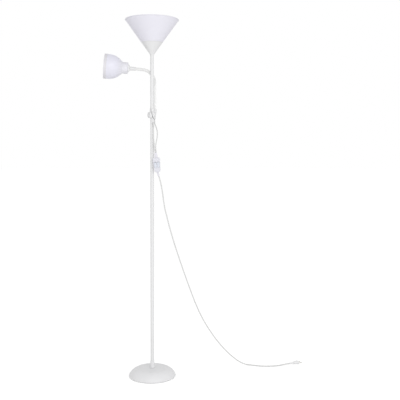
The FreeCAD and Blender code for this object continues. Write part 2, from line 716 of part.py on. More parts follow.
def clamp_body():
    """Split ring on the pole with two lugs in front and a tapered boss behind for the arm."""
    half = clamp_half_width()
    collar = ring(half, 0, CLAMP_LOW, CLAMP_TOP)
    boss_radius = NECK_RADIUS + BOSS_WALL
    taper_top = CLAMP_TOP - NECK_INSERTION
    boss = Outline(0, CLAMP_LOW).line(BOSS_TIP_RADIUS, CLAMP_LOW).line(boss_radius, taper_top)
    boss = boss.line(boss_radius, CLAMP_TOP - 0.8).line(boss_radius - 0.8, CLAMP_TOP).line(0, CLAMP_TOP)
    boss = boss.turned().translated(V(ARM_X, ARM_Y, 0))
    reach = math.hypot(ARM_X, ARM_Y)
    web = Part.makeBox(reach, 9.0, CLAMP_HEIGHT - 12, V(0, -4.5, CLAMP_LOW + 12))
    web = web.rotated(ORIGIN, UP, math.degrees(math.atan2(ARM_Y, ARM_X)))
    low = SCREW_HEIGHT - LUG_HEIGHT / 2
    block = Part.makeBox(2 * half, LUG_REACH, LUG_HEIGHT, V(-half, -LUG_REACH, low))
    nose = screw_axis(LUG_HEIGHT / 2, -half, half)
    lugs = block.fuse(nose)
    front = V(-half, -LUG_REACH - LUG_HEIGHT, low)
    lugs = lugs.cut(Part.makeBox(2 * half, LUG_HEIGHT - LUG_ROUND, LUG_HEIGHT, front))
    body = collar.fuse([boss, web, lugs])
    slit = Part.Face(Part.makePolygon([
        V(slit_x(CLAMP_TOP + 1) - SLIT_WIDTH / 2, 0, CLAMP_TOP + 1),
        V(slit_x(CLAMP_TOP + 1) + SLIT_WIDTH / 2, 0, CLAMP_TOP + 1),
        V(slit_x(CLAMP_LOW - 1) + SLIT_WIDTH / 2, 0, CLAMP_LOW - 1),
        V(slit_x(CLAMP_LOW - 1) - SLIT_WIDTH / 2, 0, CLAMP_LOW - 1),
        V(slit_x(CLAMP_TOP + 1) - SLIT_WIDTH / 2, 0, CLAMP_TOP + 1),
    ])).extrude(V(0, -LUG_REACH - LUG_HEIGHT, 0))
    nut = hexagon(CLAMP_NUT_FLATS + 2 * SLIP, 0, CLAMP_NUT_THICKNESS + 1)
    nut = nut.rotated(ORIGIN, V(0, 1, 0), 90)
    nut = nut.translated(V(half - CLAMP_NUT_THICKNESS, -LUG_REACH, SCREW_HEIGHT))
    cuts = [
        Part.makeCylinder(POLE_RADIUS + SLIP, CLAMP_HEIGHT, V(0, 0, CLAMP_LOW)),
        slit,
        nut,
        screw_axis(SCREW_RADIUS + SLIP, -half - 1, half + 1),
        Part.makeCylinder(NECK_RADIUS + SLIP, NECK_INSERTION, V(ARM_X, ARM_Y, taper_top)),
        relief_cone(SEAT, taper_top - CLAMP_LOW).translated(V(ARM_X, ARM_Y, taper_top)),
    ]
    return body.cut(cuts)


def relief_radius(depth):
    """Radius of the arm's strain relief at a depth below the end of the gooseneck."""
    top = NECK_RADIUS - 0.4
    return top + (RELIEF_TIP_RADIUS - top) * depth / ARM_RELIEF_LENGTH


def relief_cone(extra, length):
    """The relief's taper, wider by extra, downwards from z = 0."""
    return Part.makeCone(relief_radius(length) + extra, relief_radius(0) + extra, length, V(0, 0, -length))


def arm_relief_top():
    return CLAMP_TOP - NECK_INSERTION - SLIP


def arm_relief():
    return relief_cone(0, ARM_RELIEF_LENGTH).translated(V(ARM_X, ARM_Y, arm_relief_top()))


def clamp_nut():
    half = clamp_half_width()
    nut = hexagon(CLAMP_NUT_FLATS, 0, CLAMP_NUT_THICKNESS).rotated(ORIGIN, V(0, 1, 0), 90)
    nut = nut.translated(V(half - CLAMP_NUT_THICKNESS, -LUG_REACH, SCREW_HEIGHT))
    return nut.cut(screw_axis(SCREW_RADIUS + SLIP, 0, half + 1))


def clamp_screw():
    half = clamp_half_width()
    return screw_axis(SCREW_RADIUS, -half - SEAT - KNOB_THICKNESS + 2, half - 0.6)


def clamp_knob():
    """Thumb knob: a fluted disc with a raised hub, moulded round the screw's head."""
    inner = -clamp_half_width() - SEAT
    outer = inner - KNOB_THICKNESS
    knob = Outline(0, 0).line(KNOB_RADIUS - 1.2, 0).line(KNOB_RADIUS, 1.2)
    knob.line(KNOB_RADIUS, KNOB_THICKNESS - 2.6).line(KNOB_RADIUS - 1.6, KNOB_THICKNESS - 1.2)
    knob.line(8.0, KNOB_THICKNESS - 1.2).line(7.0, KNOB_THICKNESS).line(0, KNOB_THICKNESS)
    knob = knob.turned()
    flutes = []
    for k in range(KNOB_FLUTES):
        angle = 2 * math.pi * k / KNOB_FLUTES
        at = V(math.cos(angle), math.sin(angle), 0) * (KNOB_RADIUS + FLUTE_RADIUS * 0.5)
        flutes.append(Part.makeCylinder(FLUTE_RADIUS, KNOB_THICKNESS, at))
    knob = knob.cut(flutes).rotated(ORIGIN, V(0, 1, 0), -90)
    knob = knob.translated(V(inner, -LUG_REACH, SCREW_HEIGHT))
    return knob.cut(screw_axis(SCREW_RADIUS, outer + 2, inner + 1))


# ---- gooseneck ----------------------------------------------------------------------------------
def neck_face(at, direction):
    outer = Part.Wire(Part.makeCircle(NECK_RADIUS, at, direction))
    inner = Part.Wire(Part.makeCircle(NECK_BORE, at, direction))
    return Part.Face(outer).cut(Part.Face(inner)).Faces[0]


def neck_lower():
    low = CLAMP_TOP - NECK_INSERTION
    return ring(NECK_RADIUS, NECK_BORE, low, BEND_START).translated(V(ARM_X, ARM_Y, 0))


def neck_bend():
    """The part that flexes when the head is raised or lowered."""
    face = neck_face(V(ARM_X, ARM_Y, BEND_START), UP)
    centre = V(ARM_X - BEND_RADIUS, ARM_Y, BEND_START)
    return swung(face.revolve(centre, V(0, -1, 0), 90 - HEAD_RISE))


def neck_stub():
    return in_head(ring(NECK_RADIUS, NECK_BORE, 0, NECK_STUB))


def neck_flex():
    """The part that flexes when the head is turned to either side."""
    return in_head(ring(NECK_RADIUS, NECK_BORE, NECK_STUB, NECK_STUB + FLEX_LENGTH))


def neck_upper():
    return in_head(ring(NECK_RADIUS, NECK_BORE, NECK_STUB + FLEX_LENGTH, FERRULE_START + 10))


def head_ferrule():
    """Tapered sleeve from the gooseneck to the back of the lampholder."""
    stop = FERRULE_START + 10 + SLIP
    outline = Outline(NECK_RADIUS + SLIP, FERRULE_START).line(FERRULE_MOUTH_RADIUS - 0.5, FERRULE_START)
    outline.line(FERRULE_MOUTH_RADIUS, FERRULE_START + 0.8).line(FERRULE_RADIUS, FERRULE_START + 20)
    outline.line(FERRULE_RADIUS, FERRULE_END).line(NECK_BORE, FERRULE_END).line(NECK_BORE, stop)
    outline.line(NECK_RADIUS + SLIP, stop)
    return in_head(outline.turned())


# ---- reading lamp -------------------------------------------------------------------------------
def holder_cap():
    """Back of the small lampholder, behind the shade's collar."""
    end = COLLAR_START - SEAT
    outline = Outline(NECK_BORE, FERRULE_END).line(BACK_CAP_RADIUS - BACK_CAP_CORNER, FERRULE_END)
    outline.smooth(BACK_CAP_RADIUS, FERRULE_END + BACK_CAP_CORNER)
    outline.line(BACK_CAP_RADIUS, end).line(NECK_BORE, end)
    return in_head(outline.turned())


def bell_point(place):
    """Radius and distance along the head's axis of a place on the bell."""
    wider, further = place
    return (COLLAR_RADIUS + (BELL_RADIUS - COLLAR_RADIUS) * wider, FLARE_FOOT + BELL_LENGTH * further)


def bell_shade():
    """Opal bell: a back wall clamped on the small lampholder, a collar, a flare and a mouth band."""
    outline = Outline(E14_SKIRT_RADIUS + SEAT, COLLAR_START)
    outline.line(COLLAR_RADIUS - COLLAR_CORNER, COLLAR_START)
    outline.smooth(COLLAR_RADIUS, COLLAR_START + COLLAR_CORNER)
    outline.line(COLLAR_RADIUS, FLARE_FOOT - COLLAR_CORNER).smooth(*bell_point(FLARE_START))
    outline.line(*bell_point(FLARE_END)).smooth(*bell_point(BELL_SHOULDER))
    outline.smooth(*bell_point(BELL_STRAIGHT)).line(BELL_RADIUS, MOUTH)
    band = ring(BELL_RADIUS + BELL_BAND_RISE, BELL_RADIUS - BELL_WALL, MOUTH - BELL_BAND, MOUTH)
    return in_head(outline.turned_sheet(BELL_WALL).fuse(band))


def e14_holder():
    """Small lampholder: a threaded skirt through the shade's back wall."""
    start = COLLAR_START - SEAT
    end = start + E14_HOLDER_LENGTH
    floor = start + 8.0
    outline = Outline(0, start).line(E14_SKIRT_RADIUS, start).line(E14_SKIRT_RADIUS, end - 1)
    outline.line(E14_SKIRT_RADIUS - 1, end).line(E14_BORE + 2.4, end).line(E14_BORE, end - 5)
    outline.line(E14_BORE, floor).line(0, floor)
    return in_head(outline.turned())


def e14_ring():
    low = COLLAR_START + BELL_WALL + SEAT
    high = low + E14_RING_LENGTH
    inner = E14_SKIRT_RADIUS + SLIP
    outline = Outline(inner, low).line(E14_RING_RADIUS, low).line(E14_RING_RADIUS, low + 2)
    outline.line(inner + 2, low + 2).line(inner + 2, high).line(inner, high)
    return in_head(outline.turned())


def small_bulb_foot():
    return COLLAR_START - SEAT + 8.0 + SEAT


def small_bulb_cap():
    cap = bulb_cap(E14_CAP_RADIUS, E14_CAP_LENGTH, 4, 3.0)
    return in_head(cap.translated(V(0, 0, small_bulb_foot())))


def small_bulb_glass():
    glass = bulb_glass(SMALL_BULB_RADIUS, E14_CAP_RADIUS - 0.4, E14_CAP_LENGTH,
                       E14_CAP_LENGTH + SMALL_BULB_NECK, SMALL_BULB_LENGTH)
    return in_head(glass.translated(V(0, 0, small_bulb_foot())))


# ---- switch -------------------------------------------------------------------------------------
def switch_outline(inset, front, back):
    """The switch's tapered body between two depths, with its outline moved inwards by inset."""
    top = SWITCH_TOP_WIDTH / 2 - inset
    low = SWITCH_LOW_WIDTH / 2 - inset
    half = SWITCH_LENGTH / 2 - inset
    corners = [V(-top, front, half), V(top, front, half), V(low, front, -half), V(-low, front, -half)]
    block = Part.Face(Part.makePolygon(corners + corners[:1])).extrude(V(0, back - front, 0))
    deep = [e for e in block.Edges if abs(e.tangentAt(e.FirstParameter).y) > 0.99]
    return block.makeFillet(max(SWITCH_CORNER - inset, 1.5), deep)


def rocker_window(side):
    wide = ROCKER_WIDTH + 2 * ROCKER_PLAY
    long = ROCKER_LENGTH + 2 * ROCKER_END_PLAY
    corner = V(side * ROCKER_OFFSET - wide / 2, -SWITCH_FRONT - 1, -long / 2)
    return Part.makeBox(wide, SWITCH_FRONT, long, corner)


def screw_post_heights():
    return (SWITCH_LENGTH / 2 - 11.0, -SWITCH_LENGTH / 2 + 11.0)


def along_depth(radius, front, back, height):
    """A round bar along Y in the switch's own frame."""
    return Part.makeCylinder(radius, back - front, V(0, front, height), V(0, 1, 0))


def switch_cover():
    """Front half: bevelled shell with two windows, ribs that carry the rockers, screw posts."""
    shell = switch_outline(0, -SWITCH_FRONT, 0)
    rim = [e for e in shell.Edges if e.BoundBox.YMax < -SWITCH_FRONT + 0.01]
    shell = shell.makeFillet(2.5, rim)
    shell = shell.cut(switch_outline(SWITCH_WALL, -SWITCH_FRONT + SWITCH_WALL, 0))
    gap = ROCKER_WIDTH / 2 + ROCKER_PLAY
    rib_depth = SWITCH_FRONT - SWITCH_WALL - 1.5
    ribs = []
    inner = ROCKER_OFFSET - gap
    outer = ROCKER_OFFSET + gap
    for start, width in ((-inner, 2 * inner), (outer, 1.8), (-outer - 1.8, 1.8)):
        ribs.append(Part.makeBox(width, rib_depth, 8.0, V(start, -SWITCH_FRONT + SWITCH_WALL, -4.0)))
    posts = [along_depth(3.0, -SWITCH_FRONT + 1, -SLIP, z) for z in screw_post_heights()]
    shell = shell.fuse(ribs + posts)
    bores = [along_depth(1.25, -SWITCH_FRONT + SWITCH_WALL + 1, 1, z) for z in screw_post_heights()]
    windows = [rocker_window(side) for side in (-1, 1)]
    axle = Part.makeCylinder(PIVOT_RADIUS + SLIP, 2 * outer + 4, V(-outer - 2, PIVOT_DEPTH, 0), V(1, 0, 0))
    return in_switch(shell.cut(bores + windows + [axle]))


def switch_housing():
    """Back half: a tray with bevelled edges and countersunk screw holes."""
    shell = switch_outline(0, 0, SWITCH_BACK)
    rim = [e for e in shell.Edges if e.BoundBox.YMin > SWITCH_BACK - 0.01]
    shell = shell.makeFillet(2.5, rim)
    shell = shell.cut(switch_outline(SWITCH_WALL, 0, SWITCH_BACK - SWITCH_WALL))
    posts = [along_depth(3.6, SLIP, SWITCH_BACK - 1, z) for z in screw_post_heights()]
    shell = shell.fuse(posts)
    bores = [along_depth(1.5, 0, SWITCH_BACK + 1, z) for z in screw_post_heights()]
    heads = [along_depth(2.8, SWITCH_BACK - 1.6, SWITCH_BACK + 1, z) for z in screw_post_heights()]
    return in_switch(shell.cut(bores + heads))


def switch_screws():
    """Two screws that hold the halves together, driven from the back."""
    screws = []
    for z in screw_post_heights():
        shank = along_depth(1.2, -SWITCH_FRONT + SWITCH_WALL + 2, SWITCH_BACK - 1.6, z)
        head = along_depth(2.6, SWITCH_BACK - 1.6, SWITCH_BACK - 0.2, z)
        slot = Part.makeBox(6, 1, 0.8, V(-3, SWITCH_BACK - 0.8, z - 0.4))
        screws.append(in_switch(shank.fuse(head).cut(slot)))
    return Part.makeCompound(screws)


def rocker(side):
    """Rocker key: two faces that meet in a shallow valley, with an axle through its middle."""
    half = ROCKER_LENGTH / 2
    top = -SWITCH_FRONT - ROCKER_PROUD
    low = -SWITCH_FRONT + SWITCH_WALL + 1.2
    outline = [(half, top - 0.6), (half, low), (3.2, PIVOT_DEPTH + 2.4), (-3.2, PIVOT_DEPTH + 2.4),
               (-half, low), (-half, top - 0.6), (0, top + 1.2), (half, top - 0.6)]
    points = [V(-ROCKER_WIDTH / 2, y, z) for z, y in outline]
    key = Part.Face(Part.makePolygon(points)).extrude(V(ROCKER_WIDTH, 0, 0))
    reach = ROCKER_WIDTH / 2 + ROCKER_PLAY + 1.4
    axle = Part.makeCylinder(PIVOT_RADIUS, 2 * reach, V(-reach, PIVOT_DEPTH, 0), V(1, 0, 0))
    key = key.fuse(axle).rotated(V(0, PIVOT_DEPTH, 0), V(1, 0, 0), ROCKER_TILT)
    return in_switch(key.translated(V(side * ROCKER_OFFSET, 0, 0)))


def stadium(width, depth, height):
    """A wire with straight long sides and round ends, longer in X, at a height."""
    half = depth / 2
    reach = width / 2 - half
    corners = [V(-reach, -half, height), V(reach, -half, height),
               V(reach, half, height), V(-reach, half, height)]
    right = V(width / 2, 0, height)
    left = V(-width / 2, 0, height)
    sides = [
        Part.LineSegment(corners[0], corners[1]),
        Part.Arc(corners[1], right, corners[2]),
        Part.LineSegment(corners[2], corners[3]),
        Part.Arc(corners[3], left, corners[0]),
    ]
    return Part.Wire([side.toShape() for side in sides])


def switch_top_relief():
    """Tapered relief in which the two cables from the lamps lie side by side."""
    low = SWITCH_LENGTH / 2
    tip = LEG_DIAMETER + 1.6
    foot = stadium(2 * LEG_SPREAD + tip + 3.0, tip + 3.0, low)
    head = stadium(2 * LEG_SPREAD + tip, tip, low + TOP_RELIEF_LENGTH)
    return in_switch(Part.makeLoft([foot, head], True, True))


def in_low_relief(shape):
    """Puts a shape from the lower relief's frame, which leaves the switch along -Z, in place."""
    leaning = shape.rotated(ORIGIN, V(0, 1, 0), LOW_RELIEF_LEAN)
    return in_switch(leaning.translated(V(0, 0, -SWITCH_LENGTH / 2)))


def switch_low_relief():
    """Tapered relief that the supply cord pulls aside; its upper end lies flat on the switch."""
    tip = CORD_DIAMETER / 2 + 0.7
    root = tip + 2.2
    cone = Part.makeCone(tip, root, LOW_RELIEF_LENGTH + root / 2, V(0, 0, -LOW_RELIEF_LENGTH))
    inside = Part.makeBox(4 * root, 4 * root, root, V(-2 * root, -2 * root, -SWITCH_LENGTH / 2))
    return in_low_relief(cone).cut(in_switch(inside))


# ---- plug ---------------------------------------------------------------------------------------
def in_plug(shape):
    """Puts a shape built along +X, its thickness along Z, at the end of the supply cord."""
    before, end = supply_route()[-2:]
    heading = math.degrees(math.atan2(end.y - before.y, end.x - before.x))
    return shape.rotated(ORIGIN, UP, heading).translated(end)


def plug_body():
    """Flat two-pin plug: a face with slanted corners, waisted grips and a tapered tail."""
    def section(x, width, thickness, corner):
        half = width / 2
        deep = thickness / 2
        points = [V(x, -half, 0), V(x, -half + corner, -deep), V(x, half - corner, -deep), V(x, half, 0),
                  V(x, half - corner, deep), V(x, -half + corner, deep), V(x, -half, 0)]
        return Part.makePolygon(points)
    tail = PLUG_TAIL_LENGTH
    face = tail + PLUG_BODY_LENGTH
    body = Part.makeLoft([
        section(tail, PLUG_BACK_WIDTH, PLUG_THICKNESS - 3.0, 3.5),
        section(tail + 12, PLUG_BACK_WIDTH + 5, PLUG_THICKNESS - 1.0, 4.5),
        section(face - 6, PLUG_FACE_WIDTH, PLUG_THICKNESS, 7.0),
        section(face, PLUG_FACE_WIDTH, PLUG_THICKNESS, 7.0),
    ], True, True)
    taper = Part.makeCone(CORD_DIAMETER / 2 + 0.7, 5.0, tail + 1, ORIGIN, V(1, 0, 0))
    return in_plug(body.fuse(taper))


def plug_pins():
    """Two insulated pins with round tips."""
    face = PLUG_TAIL_LENGTH + PLUG_BODY_LENGTH
    pins = []
    for side in (-1, 1):
        at = V(face, side * PIN_SPACING / 2, 0)
        pin = Part.makeCylinder(PIN_RADIUS, PIN_LENGTH, at, V(1, 0, 0))
        tip = [e for e in pin.Edges if e.BoundBox.XMin > face + PIN_LENGTH - 0.01]
        pins.append(in_plug(pin.makeFillet(PIN_ROUND, tip)))
    return Part.makeCompound(pins)


# ---- nodes --------------------------------------------------------------------------------------
NODES = {
    "base_cover": base_cover(),
    "base_pad": base_pad(),
    "base_weight": base_weight(),
    "base_washer": base_washer(),
    "base_nut": base_nut(),
    "base_stud": base_stud(),
    "foot_stub": foot_stub(),
    "upper_pole": upper_pole(),
    "top_nipple": top_nipple(),
    "pole_outlet": pole_outlet(),
    "pole_lead": pole_lead(),
    "cup_locknut": cup_locknut(),
    "shade_cup": shade_cup(),
    "uplighter_shade": uplighter_shade(),
    "uplighter_holder": e27_holder(),
    "uplighter_shade_ring": e27_ring(),
    "uplighter_contact": e27_contact(),
    "uplighter_bulb_cap": large_bulb_cap(),
    "uplighter_bulb_glass": large_bulb_glass(),
    "clamp_body": clamp_body(),
    "clamp_nut": clamp_nut(),
    "clamp_screw": clamp_screw(),
    "clamp_knob": clamp_knob(),
    "arm_relief": arm_relief(),
    "neck_lower": neck_lower(),
    "neck_bend": neck_bend(),
    "neck_stub": neck_stub(),
    "neck_flex": neck_flex(),
    "neck_upper": neck_upper(),
    "head_ferrule": head_ferrule(),
    "holder_cap": holder_cap(),
    "reading_holder": e14_holder(),
    "reading_shade": bell_shade(),
    "reading_shade_ring": e14_ring(),
    "reading_bulb_cap": small_bulb_cap(),
    "reading_bulb_glass": small_bulb_glass(),
    "pole_cable": pole_cable(),
    "arm_cable": arm_cable(),
    "supply_cord": supply_cord(),
    "switch_housing": switch_housing(),
    "switch_cover": switch_cover(),
    "switch_screws": switch_screws(),
    "rocker_left": rocker(-1),
    "rocker_right": rocker(1),
    "switch_top_relief": switch_top_relief(),
    "switch_low_relief": switch_low_relief(),
    "plug_body": plug_body(),
    "plug_pins": plug_pins(),
}
for k in range(SECTION_COUNT):
    NODES[f"pole_section_{k + 1}"] = pole_section(k)
for k, height in enumerate(JOINT_HEIGHTS):
    NODES[f"coupling_{k + 1}"] = coupling(height)

os.makedirs("parts", exist_ok=True)
for name, shape in NODES.items():
    shape.exportStep(f"parts/{name}.step")
    if not shape.isValid():
        print("not valid:", name)
print(len(NODES), "nodes")
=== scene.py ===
"""Looks of a white floor lamp with a cone uplighter and a gooseneck reading arm, in metres."""
import json
import math

import bpy
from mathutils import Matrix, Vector


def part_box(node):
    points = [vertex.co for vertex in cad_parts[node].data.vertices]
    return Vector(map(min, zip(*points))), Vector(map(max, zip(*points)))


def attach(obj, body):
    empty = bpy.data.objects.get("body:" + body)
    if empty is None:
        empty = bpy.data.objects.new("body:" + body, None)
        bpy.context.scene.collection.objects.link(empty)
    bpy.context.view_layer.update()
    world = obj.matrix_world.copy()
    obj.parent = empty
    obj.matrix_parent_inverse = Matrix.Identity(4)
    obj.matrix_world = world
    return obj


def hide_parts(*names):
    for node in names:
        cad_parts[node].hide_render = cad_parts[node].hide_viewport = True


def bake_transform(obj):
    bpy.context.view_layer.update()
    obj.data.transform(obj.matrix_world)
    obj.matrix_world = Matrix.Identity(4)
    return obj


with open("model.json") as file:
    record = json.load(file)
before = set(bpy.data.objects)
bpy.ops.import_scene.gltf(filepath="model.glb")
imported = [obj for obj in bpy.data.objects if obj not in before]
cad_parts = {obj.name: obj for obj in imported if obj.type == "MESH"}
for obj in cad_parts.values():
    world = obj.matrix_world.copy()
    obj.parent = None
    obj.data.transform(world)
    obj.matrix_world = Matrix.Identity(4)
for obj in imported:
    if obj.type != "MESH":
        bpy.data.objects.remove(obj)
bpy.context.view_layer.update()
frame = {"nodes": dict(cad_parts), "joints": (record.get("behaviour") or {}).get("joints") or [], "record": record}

NODES = frame["nodes"]
JOINTS = {joint["name"]: joint for joint in frame["joints"]}

# ---- sizes ---------------------------------------------------------------------------------------
LEG_DIAMETER = 0.0052        # the two cables from the lamps to the switch
CORD_DIAMETER = 0.0060       # the supply cord
NECK_RADIUS = 0.0076         # over the windings of the gooseneck
WINDING_PITCH = 0.0029
WINDING_DEPTH = 0.0006
WINDING_BLUNT = 0.96         # keeps the bottom of the groove between two windings blunt
RINGS_PER_WINDING = 8
NECK_SIDES = 40
LEG_SIDES = 24
CORD_ORDER = 3               # of the smooth curve through a cord's points
CORD_STEPS = 12              # between two of them
CORD_BEVEL_STEPS = 5
NECK_FADE = 0.025            # length over which the gooseneck's foot turns to the colour above it
UP = Vector((0, 0, 1))
ACROSS_HEAD = Vector(JOINTS["neck_bend"]["axis"])
HEAD_AXIS = Vector(JOINTS["head_turn"]["axis"]).cross(ACROSS_HEAD).normalized()
BELL_BAND = 0.014            # thickened band at the bell's mouth
BELL_BAND_BLUR = 0.0004      # half the width of the change of colour at the band
BELL_COLLAR = 0.027
CONE_RIM_START = 0.006       # below the rim, where the denser milk sets in
CONE_RIM_FULL = 0.003

# ---- camera and stage values ---------------------------------------------------------------------
SENSOR_WIDTH = 36.0
LENS = 59.3
SHIFT_Y = -0.05
CAMERA_AT = (0.2434, -3.2805, 1.1306)
CAMERA_DOWN = 2.47           # degrees below level
CAMERA_ROLL = -0.11          # degrees
CAMERA_TURN = 0.09           # degrees to the left of the +Y direction
FLOOR_REACH = 40.0
FLOOR_PAPER = ((0.90, 0.90, 0.90), (0.92, 0.92, 0.92))
FLOOR_GLOW = 0.28            # what the camera sees in the floor on top of the light it gets
ROOM_LIGHT = 0.80
PAPER_LIGHT = 1.0            # what the camera and reflections see of the room
# Soft lights: where each stands, where it aims, its width and height, and its power in watts.
KEY_LIGHT = ((1.5, -4.1, 2.0), (0, 0, 1.0), (2.6, 2.6), 60.0)
FILL_LIGHT = ((-0.8, -3.6, 0.4), (0, 0, 1.4), (2.6, 1.2), 12.0)

# ---- cord routes ---------------------------------------------------------------------------------
# Each route runs from the piece that the cord leaves to the piece that it enters.
POLE_CABLE = [
    (0.00780, -0.01114, 1.2500),
    (0.00780, -0.01114, 1.2310),
    (0.0081, -0.0136, 1.2090),
    (0.0096, -0.0172, 1.1870),
    (0.0122, -0.0200, 1.1650),
    (0.01410, -0.0210, 1.14377),
    (0.01619, -0.0210, 1.12388),
]
ARM_CABLE = [
    (0.0115, 0.0185, 1.28795),
    (0.0115, 0.0185, 1.27295),
    (0.0173, 0.0164, 1.2570),
    (0.0236, 0.0110, 1.2400),
    (0.0266, 0.0026, 1.2210),
    (0.0260, -0.0068, 1.2010),
    (0.0224, -0.0146, 1.1820),
    (0.0194, -0.0194, 1.1630),
    (0.01957, -0.0210, 1.14435),
    (0.02166, -0.0210, 1.12446),
]
SUPPLY_CORD = [
    (0.03521, -0.0210, 1.00760),
    (0.04032, -0.0210, 0.99034),
    (0.0456, -0.0180, 0.9680),
    (0.0520, -0.0144, 0.9300),
    (0.0570, -0.0104, 0.8900),
    (0.0624, -0.0069, 0.8500),
    (0.0735, -0.0019, 0.8050),
    (0.0890, 0.0050, 0.7420),
    (0.1125, 0.0152, 0.6600),
    (0.1380, 0.0264, 0.5800),
    (0.1640, 0.0380, 0.5020),
    (0.1900, 0.0492, 0.4270),
    (0.2172, 0.0612, 0.3520),
    (0.2480, 0.0746, 0.2810),
    (0.2846, 0.0906, 0.2150),
    (0.3226, 0.1076, 0.1560),
    (0.3616, 0.1248, 0.1050),
    (0.4022, 0.1424, 0.0600),
    (0.4420, 0.1600, 0.0240),
    (0.4800, 0.1708, 0.00305),
    (0.5150, 0.1600, 0.00305),
    (0.5480, 0.1470, 0.00305),
    (0.5850, 0.1415, 0.00305),
    (0.6220, 0.1445, 0.00305),
    (0.6560, 0.1535, 0.00305),
    (0.6870, 0.1655, 0.0056),
    (0.7160, 0.1777, 0.0069),
]


# ---- camera --------------------------------------------------------------------------------------
def make_camera():
    data = bpy.data.cameras.new("camera")
    data.sensor_width = SENSOR_WIDTH
    data.lens = LENS
    data.shift_y = SHIFT_Y
    camera = bpy.data.objects.new("camera", data)
    camera.location = CAMERA_AT
    angles = (90 - CAMERA_DOWN, CAMERA_ROLL, CAMERA_TURN)
    camera.rotation_euler = [math.radians(angle) for angle in angles]
    bpy.context.scene.collection.objects.link(camera)
    bpy.context.scene.camera = camera


# ---- shader helpers ------------------------------------------------------------------------------
class Shader:
    """A material's node tree: nodes are added by type, and sockets set or linked by name."""

    def __init__(self, name):
        self.material = bpy.data.materials.new(name)
        self.material.use_nodes = True
        self.tree = self.material.node_tree
        self.main = self.tree.nodes["Principled BSDF"]
        self.coordinates = self.add("ShaderNodeTexCoord").outputs["Object"]

    def add(self, kind, **values):
        node = self.tree.nodes.new(kind)
        for key, value in values.items():
            setattr(node, key, value)
        return node

    def link(self, output, target):
        self.tree.links.new(output, target)

    def height(self):
        """Height over the ground, in metres."""
        parts = self.add("ShaderNodeSeparateXYZ")
        self.link(self.coordinates, parts.inputs["Vector"])
        return parts.outputs["Z"]

    def noise(self, scale, detail=3.0, roughness=0.5, stretch=None):
        """Noise in metres: scale is how many features fit in one metre."""
        node = self.add("ShaderNodeTexNoise")
        node.inputs["Scale"].default_value = scale
        node.inputs["Detail"].default_value = detail
        node.inputs["Roughness"].default_value = roughness
        source = self.coordinates
        if stretch:
            mapping = self.add("ShaderNodeMapping")
            mapping.inputs["Scale"].default_value = stretch
            self.link(source, mapping.inputs["Vector"])
            source = mapping.outputs["Vector"]
        self.link(source, node.inputs["Vector"])
        return node.outputs["Fac"]

    def between(self, fac, low, high, low_in=0.3, high_in=0.7):
        """A number from low to high as fac goes from low_in to high_in."""
        node = self.add("ShaderNodeMapRange")
        node.inputs["From Min"].default_value = low_in
        node.inputs["From Max"].default_value = high_in
        node.inputs["To Min"].default_value = low
        node.inputs["To Max"].default_value = high
        self.link(fac, node.inputs["Value"])
        return node.outputs["Result"]

    def blend_colours(self, fac, first, second):
        node = self.add("ShaderNodeMix", data_type="RGBA")
        for socket, colour in ((node.inputs[6], first), (node.inputs[7], second)):
            if isinstance(colour, tuple):
                socket.default_value = (*colour, 1)
            else:
                self.link(colour, socket)
        self.link(fac, node.inputs[0])
        return node.outputs[2]

    def multiply(self, first, second):
        node = self.add("ShaderNodeMix", data_type="RGBA", blend_type="MULTIPLY")
        node.inputs[0].default_value = 1.0
        self.link(first, node.inputs[6])
        self.link(second, node.inputs[7])
        return node.outputs[2]

    def bump(self, height, strength, distance, onto=None):
        node = self.add("ShaderNodeBump")
        node.inputs["Strength"].default_value = strength
        node.inputs["Distance"].default_value = distance
        self.link(height, node.inputs["Height"])
        if onto:
            self.link(onto, node.inputs["Normal"])
        return node.outputs["Normal"]


def seen_directly(tree):
    """1 for the camera's rays, also mirrored or bent on their way to it, 0 for other light."""
    path = tree.nodes.new("ShaderNodeLightPath")
    total = None
    for ray in ("Is Camera Ray", "Is Glossy Ray", "Is Transmission Ray"):
        if total is None:
            total = path.outputs[ray]
            continue
        either = tree.nodes.new("ShaderNodeMath")
        either.operation = "MAXIMUM"
        tree.links.new(total, either.inputs[0])
        tree.links.new(path.outputs[ray], either.inputs[1])
        total = either.outputs["Value"]
    return total


def along_head(node):
    """The lowest and highest place of a CAD node along the head's axis."""
    places = [vertex.co.dot(HEAD_AXIS) for vertex in NODES[node].data.vertices]
    return min(places), max(places)


def shade_of(colour, factor):
    return tuple(channel * factor for channel in colour)


def painted_corner_shade(shader, clean, corner_shade, reach):
    """The clean colour with painted shade: darker in the corners within reach, where ambient occlusion finds them.
    """
    corner = shader.add("ShaderNodeAmbientOcclusion", samples=6)
    corner.inputs["Distance"].default_value = reach
    fac = shader.between(corner.outputs["AO"], 1.0, 0.0, 0.25, 0.85)
    return shader.blend_colours(fac, clean, corner_shade)


def enamel(name, colour, roughness=0.38, lit_colour=None, lit_top=0.0):
    """Powder-coated metal: fine orange peel, faint clouding, and painted shade in its corners.

    A piece may take a second, lighter colour as painted light lower down; it fades into the first one just below
    the top height given.
    """
    shader = Shader(name)
    cloud = shader.between(shader.noise(9.0, 4.0), 0.0, 1.0)
    clean = shader.blend_colours(cloud, shade_of(colour, 0.975), shade_of(colour, 1.01))
    if lit_colour:
        # painted light: below the top height the piece takes the lighter colour
        lit_share = shader.between(shader.height(), 0.0, 1.0, lit_top - NECK_FADE, lit_top)
        new = shader.blend_colours(cloud, shade_of(lit_colour, 0.975), shade_of(lit_colour, 1.01))
        clean = shader.blend_colours(lit_share, new, clean)
    # painted shade: corners and places beside other parts are darkened by ambient occlusion
    with_shade = painted_corner_shade(shader, clean, corner_shade=shade_of(colour, 0.88), reach=0.004)
    shader.link(with_shade, shader.main.inputs["Base Color"])
    smear = shader.between(shader.noise(60.0, 3.0), roughness - 0.05, roughness + 0.07)
    shader.link(smear, shader.main.inputs["Roughness"])
    peel = shader.bump(shader.noise(950.0, 2.0), 0.16, 0.0004)
    shader.link(peel, shader.main.inputs["Normal"])
    shader.main.inputs["Specular IOR Level"].default_value = 0.3
    return shader.material


